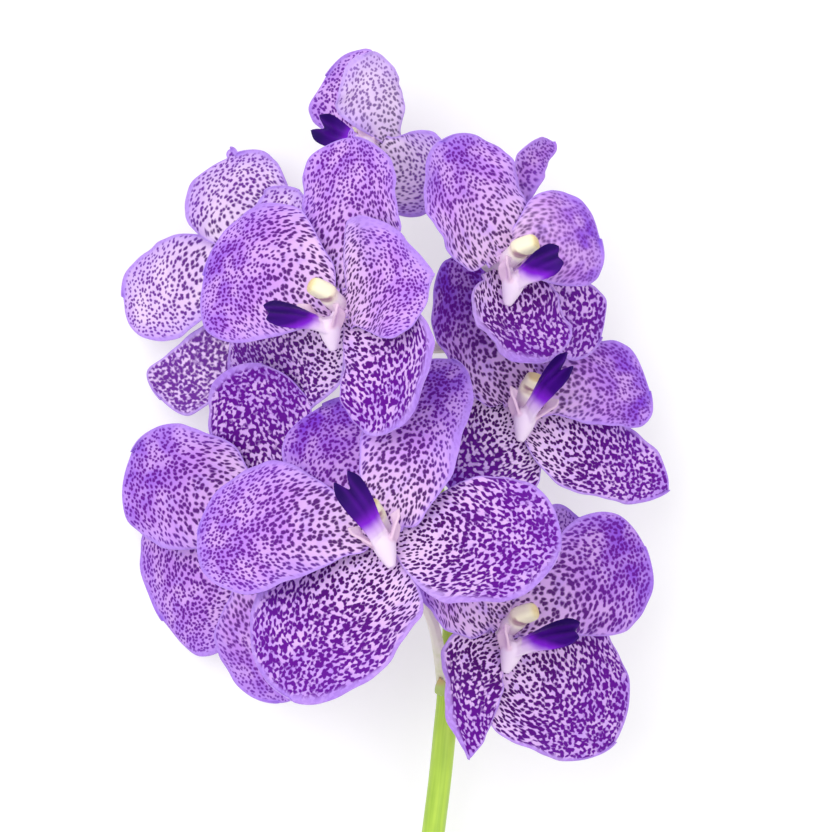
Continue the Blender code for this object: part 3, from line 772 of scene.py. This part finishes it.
def new_column(letter, bloom, material):
    """The column: a stubby body with a hollow below its box-like cap."""
    facing, up, right = bloom_axes(bloom)
    tilt = np.cross(facing, up)
    axis = turned(facing, tilt, COLUMN_LEAN)
    rise = turned(up, tilt, COLUMN_LEAN)
    start = np.array(bloom.heart) + facing * COLUMN_START
    turns = turns_round(COLUMN_SIDES)
    below = np.exp(-((np.angle(np.exp(1j * (turns + np.pi / 2))) / STIGMA_HALF_ANGLE) ** 2))
    rings = []
    for share in np.linspace(0, 1, COLUMN_STEPS + 1):
        reach = COLUMN_RADIUS * profile(COLUMN_RINGS, share)
        hollow = STIGMA_DEPTH * math.exp(-(((share - STIGMA_PLACE) / STIGMA_LENGTH) ** 2))
        sizes = 1 - hollow * below / reach
        centre = start + axis * COLUMN_LENGTH * share
        rings.append(ring_points(centre, right * reach, rise * reach * COLUMN_FLATNESS,
                                 COLUMN_SIDES, sizes))
    root = [point - facing * (np.dot(point - start, facing) + COLUMN_ROOT) for point in rings[0]]
    body = new_loft([np.array(root)] + rings)
    cap_middle = start + axis * COLUMN_LENGTH * CAP_PLACE
    turn = CAP_TURNS.get(letter, 0.0)
    ahead = turned(axis, up, turn)
    wide, tall, deep = CAP_RADII
    deep += TURNED_CAP_LONGER * (turn != 0)
    cap_up = square_to(rise, ahead)
    cap_right = np.cross(cap_up, ahead)
    corners = np.abs(np.cos(turns)) ** CAP_CORNERS + np.abs(np.sin(turns)) ** CAP_CORNERS
    cap_rings = []
    for step in np.sin(np.linspace(-0.48, 0.48, CAP_STEPS) * np.pi):
        size = (1 - abs(step) ** CAP_END_ROUNDING) ** (1 / CAP_END_ROUNDING)
        cap_rings.append(ring_points(cap_middle + ahead * deep * step, cap_right * wide * size,
                                     cap_up * tall * size, COLUMN_SIDES, corners ** (-1 / CAP_CORNERS)))
    piece = new_object(f"column_{letter}", [body, new_loft(cap_rings)], material)
    points = fuse(piece, COLUMN_VOXEL)
    from_start = points - start
    share = from_start @ axis / COLUMN_LENGTH
    height = from_start @ rise / COLUMN_RADIUS
    on_cap = (points - cap_middle) @ ahead / deep
    add_attributes(piece.data, {"place": triples(share, height, on_cap)})
    stand_for(piece, f"bloom_{letter}_column")


def tongue_grid(root, reach, top, fork):
    """Points of the lip's tongue: narrow at the throat, broad and forked at its end, with keels."""
    length = np.linalg.norm(reach)
    along = unit(reach)
    top = square_to(top, along)
    across = np.cross(along, top)
    s, u = grid_shares(TONGUE_ROWS, TONGUE_COLUMNS)
    width = profile(TONGUE_SHAPE, s[:, 0])[:, None] * TONGUE_WIDTH / 2
    notch = fork * smooth((s - 0.55) / 0.45) * (1 - np.abs(u)) ** 1.5
    lift = TONGUE_ARCH * 4 * s * (1 - s) - TONGUE_HOLLOW * u * u * (1 - s)
    keel = np.exp(-(((np.abs(u) - KEEL_ASIDE) / KEEL_HALF_WIDTH) ** 2))
    lift = lift + KEEL_HEIGHT * (keel - 0.45) * smooth((s - 0.1) / 0.25) * (1 - 0.6 * s)
    grid = grid_from(root, (along, length * (s - notch)), (across, u * width), (top, lift))
    thickness = TONGUE_THICKNESS + (TONGUE_RIM_THICKNESS - TONGUE_THICKNESS) * smooth(np.abs(u)) * s
    return grid, thickness


def lobe_grid(throat, side, bloom):
    """Points of one side lobe of the lip: a rounded ear that stands up beside the throat."""
    facing, up, right = bloom_axes(bloom)
    s, offset = grid_shares(LOBE_ROWS, LOBE_COLUMNS)
    half = profile(LOBE_SHAPE, s[:, 0])[:, None] * (1 - 0.35 * smooth((s - 0.75) / 0.25))
    spread = LOBE_ROOT + (LOBE_SPREAD - LOBE_ROOT) * np.minimum(1, s * 1.6)
    spread = spread - LOBE_DISH * (1 - offset**2) * smooth(s / 0.5)
    spread = spread + LOBE_CURL * smooth(offset) * (0.3 + 0.7 * s)
    lean = LOBE_OUT * s + offset * half
    return grid_from(throat, (right * side, spread), (up, LOBE_RISE * s), (facing, lean))


def nearest(points, others):
    """Distance from each point to the closest of some others."""
    found = [np.sqrt(((part[:, None] - others[None]) ** 2).sum(axis=2).min(axis=1))
             for part in np.array_split(points, max(1, len(points) // NEAREST_BATCH))]
    return np.concatenate(found)


def new_lip(letter, bloom, material):
    """The lip: throat and spur, the foot under the column, forked tongue and side lobes."""
    facing, up, right = bloom_axes(bloom)
    heart = np.array(bloom.heart, float)
    throat = heart + facing * THROAT_OUT - up * THROAT_DOWN
    seat = heart + facing * FOOT_OUT - up * FOOT_DOWN
    behind = unit(-up - facing * SPUR_BACK)
    tall = square_to(facing, behind)
    shares = np.linspace(SPUR_RINGS[0][0], 1, SPUR_STEPS + 1)
    reaches = THROAT_RADIUS * profile(SPUR_RINGS, shares)
    rings = tapered_rings(throat, behind * SPUR_LENGTH, right, tall, shares, reaches, SPUR_SIDES)
    foot_tall = np.cross(unit(seat - throat), right)
    shares = np.linspace(0, 1, FOOT_STEPS)
    reaches = FOOT_RADIUS * (1 + 0.8 * (1 - smooth(shares / 0.6)))
    foot = tapered_rings(throat, seat - throat, right, foot_tall, shares, reaches, SPUR_SIDES)
    tongue = np.array(bloom.tongue, float)
    root = throat - unit(tongue) * TONGUE_SUNK
    grid, thickness = tongue_grid(root, tongue, facing + up * TONGUE_TOP_UP, bloom.fork)
    blade = new_sheet(grid, thickness, LIP_RIM_ROUND)
    lobes = [lobe_grid(throat, side, bloom) for side in (-1, 1)]
    ears = [new_sheet(lobe, LOBE_THICKNESS, LIP_RIM_ROUND) for lobe in lobes]
    shells = [new_loft(rings), new_loft(foot), blade] + ears
    for shell in shells:
        shell.attributes = {}
    piece = new_object(f"lip_{letter}", shells, material)
    points = fuse(piece, LIP_VOXEL)
    share = (points - root) @ unit(tongue) / np.linalg.norm(tongue)
    lobe_points = [lobe.reshape(-1, 3) for lobe in lobes]
    blade_gap = nearest(points, grid.reshape(-1, 3))
    pale_gap = nearest(points, np.vstack([np.vstack(rings)] + lobe_points))
    on_blade = smooth((pale_gap - blade_gap) / 1.6 + 0.35)
    ear = 1 - smooth(nearest(points, np.vstack(lobe_points)) - 0.4)
    hang = square_to(up, unit(tongue))
    below = UNDERSIDE.get(letter, 0.0) * np.clip(-(points - root) @ hang / TONGUE_WIDTH * 2.4, -1, 1)
    aside = (points - root) @ unit(np.cross(tongue, facing + up * TONGUE_TOP_UP))
    keel = np.exp(-(((np.abs(aside) / TONGUE_WIDTH * 2 - KEEL_ASIDE) / KEEL_HALF_WIDTH) ** 2))
    add_attributes(piece.data, {"place": triples(share, on_blade, ear),
                                "tongue": triples(below, keel, 0)})
    stand_for(piece, f"bloom_{letter}_lip")


def tube_rings(path, sides, ribs=0, rib_height=0.0, twist=0.0):
    """Rings of a round or ribbed tube along points that hold (x, y, z, radius)."""
    centres = path[:, :3]
    ways = np.gradient(centres, axis=0)
    side_way = np.array((1.0, 0, 0))
    turns = turns_round(sides)
    rings = []
    for index, centre in enumerate(centres):
        along = unit(ways[index])
        side_way = square_to(side_way, along)
        radius = path[index, 3]
        sizes = 1 + rib_height * np.cos(ribs * turns + twist * index / 10)
        tall = np.cross(along, side_way)
        rings.append(ring_points(centre, side_way * radius, tall * radius, sides, sizes))
    return np.array(rings)


def new_stalk(material):
    """The stalk, a little thicker where each flower stem leaves it."""
    path = curve_through(STALK_PATH, STALK_STEPS)
    for bloom in BLOOMS.values():
        gap = np.linalg.norm(path[:, :3] - np.array(bloom.stem[0]), axis=1)
        path[:, 3] *= 1 + STALK_KNOT_SWELLING * np.exp(-((gap / STALK_KNOT_LENGTH) ** 2))
    rings = tube_rings(path, STALK_SIDES)
    way = np.cumsum(np.linalg.norm(np.diff(path[:, :3], axis=0, prepend=path[:1, :3]), axis=1))
    turns = turns_round(STALK_SIDES)[None, :]
    place = triples(way[:, None], np.cos(turns), np.sin(turns))
    piece = new_object("stalk", [new_loft(rings, place=place)], material)
    stand_for(piece, "flower_stalk")


def new_flower_stem(letter, bloom, material):
    """One flower stem: ribbed, a little twisted, and ending in the knob that carries the tepals."""
    facing = unit(bloom.facing)
    heart = np.array(bloom.heart, float)
    path = [(*point, STEM_RADIUS * (1 - STEM_TAPER * index)) for index, point in enumerate(bloom.stem)]
    swollen = STEM_RADIUS * STEM_SWELLING
    knob = ((-bloom.neck, STEM_RADIUS), (-(bloom.neck + KNOB_BACK) / 2, swollen),
            (-KNOB_BACK, swollen), (KNOB_STEP - KNOB_BACK, KNOB_RADIUS), (KNOB_FRONT, KNOB_RADIUS))
    path += [(*(heart + facing * ahead), radius) for ahead, radius in knob]
    path = curve_through(path, STEM_STEPS)
    rings = tube_rings(path, STEM_SIDES, STEM_RIBS, STEM_RIB_HEIGHT, STEM_TWIST)
    share = np.linspace(0, 1, len(path))[:, None, None]
    piece = new_object(f"flower_stem_{letter}", [new_loft(rings, place=share)], material)
    stand_for(piece, None)


def new_bract(letter, bloom, material):
    """The small pointed scale, cupped round a flower stem where it leaves the stalk."""
    start = np.array(bloom.stem[0], float)
    way = unit(np.array(bloom.stem[1], float) - start)
    down = square_to((0, -1, 0), way)
    wide = np.cross(down, way)
    s, u = grid_shares(BRACT_ROWS, BRACT_COLUMNS)
    half = BRACT_HALF_WIDTH * np.maximum(0.08, 1 - s**1.8)
    cup = BRACT_CUP * u**2 * (1 - s)
    drop = BRACT_DOWN + (BRACT_FLARE - BRACT_DOWN) * s - cup
    grid = grid_from(start, (way, BRACT_LENGTH * s + 0 * u), (down, drop), (wide, u * half))
    shell = new_sheet(grid, BRACT_THICKNESS, BRACT_RIM_ROUND, place=s[:, :, None])
    piece = new_object(f"bract_{letter}", [shell], material)
    stand_for(piece, None)


class Graph:
    """Short ways to put a material's nodes together."""

    def __init__(self, name):
        self.material = bpy.data.materials.new(name)
        self.material.use_nodes = True
        self.nodes = self.material.node_tree.nodes
        self.links = self.material.node_tree.links
        self.shader = self.nodes["Principled BSDF"].inputs

    def feed(self, socket, value):
        """Links a socket to another, or sets its own value."""
        if isinstance(value, bpy.types.NodeSocket):
            self.links.new(value, socket)
        else:
            socket.default_value = value

    def node(self, kind, values, **settings):
        """The outputs of a new node, whose sockets get the values by their names or numbers."""
        node = self.nodes.new("ShaderNode" + kind)
        for name, setting in settings.items():
            setattr(node, name, setting)
        for socket, value in values.items():
            self.feed(node.inputs[socket], value)
        return node.outputs

    def attribute(self, name):
        return self.node("Attribute", {}, attribute_name=name)["Vector"]

    def split(self, name):
        """The three values that a mesh's points hold under a name."""
        return self.node("SeparateXYZ", {0: self.attribute(name)})

    def join(self, x, y, z=0.0):
        return self.node("CombineXYZ", {0: x, 1: y, 2: z})[0]

    def maths(self, operation, a, b):
        return self.node("Math", {0: a, 1: b}, operation=operation)[0]

    def add(self, a, b):
        return self.maths("ADD", a, b)

    def times(self, a, b):
        return self.maths("MULTIPLY", a, b)

    def less(self, a, b):
        return self.maths("SUBTRACT", a, b)

    def vector(self, operation, a, b):
        second = "Scale" if operation == "SCALE" else 1
        return self.node("VectorMath", {0: a, second: b}, operation=operation)[0]

    def step(self, value, low, high, start=0.0, end=1.0):
        """Eased step from start at low to end at high."""
        values = dict(enumerate((value, low, high, start, end)))
        return self.node("MapRange", values, interpolation_type="SMOOTHSTEP")[0]

    def noise(self, vector, scale, detail=1.0, dimensions="2D", colour=False):
        values = {"Vector": vector, "Scale": scale, "Detail": detail}
        outputs = self.node("TexNoise", values, noise_dimensions=dimensions)
        return outputs["Color" if colour else "Fac"]

    def cloud(self, scale, detail=2.0):
        """Noise that goes by the place on the object, with the scale per metre."""
        return self.noise(self.node("TexCoord", {})["Object"], scale, detail, "3D")

    def cells(self, vector, scale, smoothness, randomness):
        """Distance from the middle of the nearest cell, with near cells run together."""
        values = {"Vector": vector, "Scale": scale, "Smoothness": smoothness,
                  "Randomness": randomness}
        settings = {"voronoi_dimensions": "2D", "feature": "SMOOTH_F1"}
        return self.node("TexVoronoi", values, **settings)["Distance"]

    def mix(self, share, a, b):
        """A colour between a and b."""
        return self.node("Mix", {0: share, 6: a, 7: b}, data_type="RGBA", clamp_factor=True)[2]

    def blend(self, share, a, b):
        """A number between a and b."""
        return self.node("Mix", {0: share, 2: a, 3: b}, data_type="FLOAT")[0]

    def finish(self, colour, grain, rough, height, strength, distance, specular):
        """The material, with its roughness between two values, which the grain picks, and a bump."""
        self.feed(self.shader["Base Color"], colour)
        self.feed(self.shader["Roughness"], self.step(grain, 0.3, 0.7, *rough))
        bump = {"Strength": strength, "Distance": distance * MM, "Height": height}
        self.feed(self.shader["Normal"], self.node("Bump", bump)[0])
        self.shader["Specular IOR Level"].default_value = specular
        return self.material


def tepal_material():
    """Dark spots and nets that follow the veins, on a ground from pinkish white to lavender, with
    painted shade that deepens the ground to violet on tepals lying in the shadow of others.
    """
    g = Graph("orchid_tepal")
    across, along = g.split("vein")[:2]
    share, rim = g.split("place")[:2]
    cover, net, flush = g.split("look")
    pale, dark_and_shade, soft = g.split("tone")
    front = g.split("face")[0]
    cell = g.join(across, along)
    wander = g.noise(cell, 0.7, 1, colour=True)
    bent = g.vector("ADD", cell, g.vector("SCALE", g.vector("SUBTRACT", wander, (0.5, 0.5, 0.5)), 0.45))
    grain = g.less(g.noise(bent, 1.35, 1), 0.5)
    patch = g.noise(cell, 0.16, 1)
    spot_gap = g.cells(bent, 1.0, 0.12, 0.9)
    hole_gap = g.cells(g.vector("ADD", bent, (17.3, 9.1, 0)), 0.9, 0.3, 1.0)
    netted = g.times(net, g.step(share, 0.12, 0.5))
    size = g.add(g.times(cover, g.step(patch, 0.3, 0.7, 0.9, 1.1)), g.times(netted, 0.15))
    hem = g.times(g.step(rim, 7.0, 0.4), g.less(1.0, net))
    size = g.less(size, g.times(hem, 0.05))
    spots = g.add(g.less(size, spot_gap), g.times(grain, 0.36))
    holes = g.add(g.less(hole_gap, 0.39), g.times(grain, 0.3))
    field = g.blend(g.times(netted, 0.55), spots, holes)
    marked = g.step(field, g.times(soft, -1.0), soft)
    streak = g.less(g.noise(g.join(g.times(across, 1.6), g.times(along, 0.25)), 1.0, 1), 0.5)
    inside = g.step(g.add(rim, g.times(streak, 0.7)), 0.3, 1.5)
    marked = g.times(marked, g.step(inside, 0.0, 1.0, 0.15, 1.0))
    marked = g.times(marked, g.less(1.1, g.times(soft, 0.9)))
    blush = g.mix(pale, srgb(230, 194, 241), srgb(240, 221, 246))
    lilac = srgb(204, 146, 238)
    lavender = srgb(182, 138, 238)
    violet = srgb(130, 66, 214)
    outward = g.times(g.step(share, 0.0, 0.55), g.less(1.0, g.times(pale, 0.85)))
    outward = g.times(outward, g.less(1.0, g.times(net, 0.5)))
    ground = g.mix(g.times(outward, g.step(patch, 0.25, 0.75, 0.6, 1.15)), blush, lilac)
    cloud = g.times(g.step(g.noise(cell, 0.3, 2), 0.5, 0.75), g.less(0.4, g.times(pale, 0.3)))
    ground = g.mix(cloud, ground, lavender)
    tip = g.times(g.step(share, 0.4, 0.98), g.step(patch, 0.3, 0.65, 0.35, 1.25))
    ground = g.mix(g.times(tip, flush), ground, violet)
    # Painted shade and deeper colour: the ground goes towards deep violet, partly the tepal's own tone
    # and partly painted shade where it lies under other tepals
    ground = g.mix(g.times(dark_and_shade, 0.8), ground, srgb(118, 36, 178))
    ground = g.mix(g.times(hem, g.add(g.times(pale, 0.2), 0.5)), ground, srgb(188, 146, 238))
    edge = g.times(g.step(inside, 0.0, 1.0, 0.62, 0.0), g.less(1.0, dark_and_shade))
    ground = g.mix(edge, ground, srgb(174, 134, 234))
    base_spot = g.mix(g.times(pale, 0.5), srgb(70, 8, 94), srgb(48, 8, 70))
    spot = g.mix(g.step(share, 0.1, 0.75), base_spot, srgb(96, 8, 142))
    spot = g.mix(g.times(hem, 0.45), spot, srgb(118, 58, 190))
    colour = g.mix(marked, ground, spot)
    behind = g.times(g.less(1.0, front), 0.18)
    colour = g.mix(behind, colour, srgb(226, 204, 246))
    ribs = g.noise(g.join(g.times(across, 2.2), g.times(along, 0.18)), 1.0, 2)
    skin = g.noise(cell, 9.0, 1)
    height = g.add(g.add(ribs, g.times(skin, 0.25)), g.times(marked, -0.12))
    return g.finish(colour, skin, (0.5, 0.68), height, 0.3, 0.25, 0.1)


def lip_material():
    """White spur and ears, then bright violet, then an indigo tongue with fine veins."""
    g = Graph("orchid_lip")
    share, blade, ear = g.split("place")
    lower, streak = g.split("tongue")[:2]
    spread = g.less(g.noise(g.attribute("place"), 5.0, 2, "3D"), 0.5)
    where = g.times(share, g.less(1.15, g.times(lower, 0.3)))
    where = g.add(g.less(where, g.times(lower, 0.13)), g.times(spread, 0.16))
    where = g.times(where, blade)
    colour = srgb(236, 217, 240)
    layers = ((0.16, 0.40, (208, 162, 240)), (0.30, 0.50, (132, 34, 210)), (0.46, 0.68, (58, 2, 120)),
              (0.70, 1.0, (34, 0, 88)))
    for low, high, tone in layers:
        colour = g.mix(g.step(where, low, high), colour, srgb(*tone))
    colour = g.mix(g.times(g.times(streak, g.step(where, 0.3, 0.5)), 0.2), colour, srgb(112, 26, 186))
    colour = g.mix(g.times(ear, 0.62), colour, srgb(224, 184, 210))
    veins = g.cloud(900.0)
    return g.finish(colour, veins, (0.42, 0.55), veins, 0.2, 0.15, 0.1)


def column_material():
    """Cream white with a pale yellow cap and a tawny beak, painted brownish shade in the fold below the
    cap and painted mauve shade in the stigma's hollow.
    """
    g = Graph("orchid_column")
    share, height, on_cap = g.split("place")
    cloud = g.cloud(700.0)
    uneven = g.times(g.less(cloud, 0.5), 0.12)
    along = g.add(share, uneven)
    colour = g.mix(g.step(along, 0.0, 0.35), srgb(228, 204, 226), srgb(246, 236, 238))
    cap = g.step(along, 0.3, 0.62)
    colour = g.mix(cap, colour, srgb(250, 244, 212))
    tip = g.times(g.step(g.add(on_cap, uneven), 0.35, 0.85), cap)
    colour = g.mix(g.times(tip, 0.35), colour, srgb(248, 228, 156))
    beak = g.times(g.step(g.add(on_cap, g.times(uneven, 2.0)), 0.6, 0.95), cap)
    colour = g.mix(g.times(beak, 0.55), colour, srgb(206, 164, 92))
    # Painted shade in the fold under the cap, on the column's lower side
    fold_shade = g.times(g.step(along, 0.60, 0.68), g.step(along, 0.80, 0.72))
    fold_shade = g.times(fold_shade, g.step(height, -0.1, -0.7))
    colour = g.mix(g.times(fold_shade, 0.6), colour, srgb(140, 96, 96))
    # Painted shade in the stigma's hollow, on the column's lower side
    hollow = g.times(g.times(g.step(height, -0.35, -0.7), g.step(share, 0.45, 0.55)),
                     g.step(share, 0.8, 0.7))
    colour = g.mix(g.times(hollow, 0.7), colour, srgb(168, 120, 150))
    return g.finish(colour, cloud, (0.4, 0.55), cloud, 0.2, 0.15, 0.3)


def stalk_material():
    """Yellow-green stalk with faint streaks and small scars, and a pale cut end."""
    g = Graph("orchid_stalk")
    way, right, top = g.split("place")
    streaks = g.noise(g.join(g.times(right, 3.0), g.times(top, 3.0), g.times(way, 0.04)), 1.0, 2, "3D")
    colour = g.mix(g.step(streaks, 0.25, 0.75), srgb(168, 206, 70), srgb(194, 228, 84))
    colour = g.mix(g.step(g.cloud(60.0), 0.4, 0.75, 0.0, 0.45), colour, srgb(136, 174, 62))
    scars = g.step(g.cloud(160.0, 1.0), 0.70, 0.76)
    colour = g.mix(g.times(scars, 0.7), colour, srgb(140, 128, 60))
    cut = g.step(way, 0.05, 0.0)
    colour = g.mix(cut, colour, srgb(214, 224, 168))
    height = g.add(streaks, g.times(scars, -0.5))
    return g.finish(colour, streaks, (0.34, 0.48), height, 0.25, 0.2, 0.4)


def flower_stem_material():
    """Green where it leaves the stalk, cream white with a lilac tinge at the flower."""
    g = Graph("orchid_flower_stem")
    cloud = g.cloud(250.0)
    where = g.add(g.split("place")[0], g.times(g.less(cloud, 0.5), 0.2))
    colour = g.mix(g.step(where, -0.06, 0.16), srgb(200, 212, 140), srgb(244, 238, 226))
    colour = g.mix(g.step(where, 0.55, 1.0, 0.0, 0.5), colour, srgb(226, 200, 236))
    return g.finish(colour, cloud, (0.4, 0.55), cloud, 0.2, 0.15, 0.3)


def bract_material():
    """Dry-edged pale green scales."""
    g = Graph("orchid_bract")
    cloud = g.cloud(400.0)
    where = g.add(g.split("place")[0], g.times(g.less(cloud, 0.5), 0.3))
    colour = g.mix(g.step(where, 0.35, 1.0), srgb(176, 196, 110), srgb(196, 168, 112))
    return g.finish(colour, cloud, (0.5, 0.65), cloud, 0.25, 0.15, 0.3)


def floor_material():
    g = Graph("pale_floor")
    g.shader["Base Color"].default_value = FLOOR_GREY
    g.shader["Emission Color"].default_value = WHITE
    g.shader["Emission Strength"].default_value = FLOOR_GLOW
    g.shader["Roughness"].default_value = 0.9
    g.shader["Specular IOR Level"].default_value = 0.1
    return g.material


def new_floor():
    mesh = bpy.data.meshes.new("floor")
    corners = [(x * FLOOR_REACH, y * FLOOR_REACH, FLOOR_TOP)
               for x, y in ((-1, -1), (1, -1), (1, 1), (-1, 1))]
    mesh.from_pydata(corners, [], [(0, 1, 2, 3)])
    mesh.materials.append(floor_material())
    floor = linked("floor", mesh)


def light_the_scene():
    """Even white light from all round, and soft lights that are turned towards the spray."""
    world = bpy.data.worlds.new("studio")
    bpy.context.scene.world = world
    world.use_nodes = True
    background = world.node_tree.nodes.get("Background")
    background.inputs["Color"].default_value = WHITE
    background.inputs["Strength"].default_value = WORLD_LIGHT
    for name, place, size, watts in LIGHTS:
        light = bpy.data.lights.new(name, "AREA")
        light.size = size
        light.energy = watts
        lamp = linked(name, light)
        lamp.location = place
        way = np.array(LIGHTS_AIM, float) - np.array(place, float)
        lamp.rotation_mode = "QUATERNION"
        lamp.rotation_quaternion = Vector(way).to_track_quat("-Z", "Y")
    bpy.context.scene.view_settings.view_transform = "Standard"


def new_camera():
    camera = bpy.data.cameras.new("photo_camera")
    camera.sensor_width = SENSOR
    camera.sensor_height = SENSOR
    camera.lens = SENSOR * (CAMERA_HEIGHT - CAMERA_FOCUS_HEIGHT) / (PHOTO_SIDE * PIXEL)
    viewer = linked("photo_camera", camera)
    viewer.location = (TO_FRAME + (0, 0, CAMERA_HEIGHT)) * MM
    bpy.context.scene.camera = viewer


def look_of(name):
    """How one tepal is marked: its kind's look, with what differs in its bloom and in itself."""
    look = PETAL_LOOK if "petal" in name else LATERAL_LOOK if "lateral" in name else DORSAL_LOOK
    return replace(look, **{**BLOOM_LOOKS.get(name[0], {}), **TEPAL_LOOKS.get(name, {})})


def build_spray():
    tepal_finish = tepal_material()
    lip_finish = lip_material()
    column_finish = column_material()
    stem_finish = flower_stem_material()
    bract_finish = bract_material()
    number = 0
    for letter, bloom in BLOOMS.items():
        for part, tepal in zip(TEPAL_PARTS, TEPALS[letter]):
            number += 1
            new_tepal(f"{letter}_{part}", bloom, tepal, number, tepal_finish)
        new_column(letter, bloom, column_finish)
        new_lip(letter, bloom, lip_finish)
        new_flower_stem(letter, bloom, stem_finish)
        new_bract(letter, bloom, bract_finish)
    new_stalk(stalk_material())


build_spray()
new_floor()
light_the_scene()
new_camera()
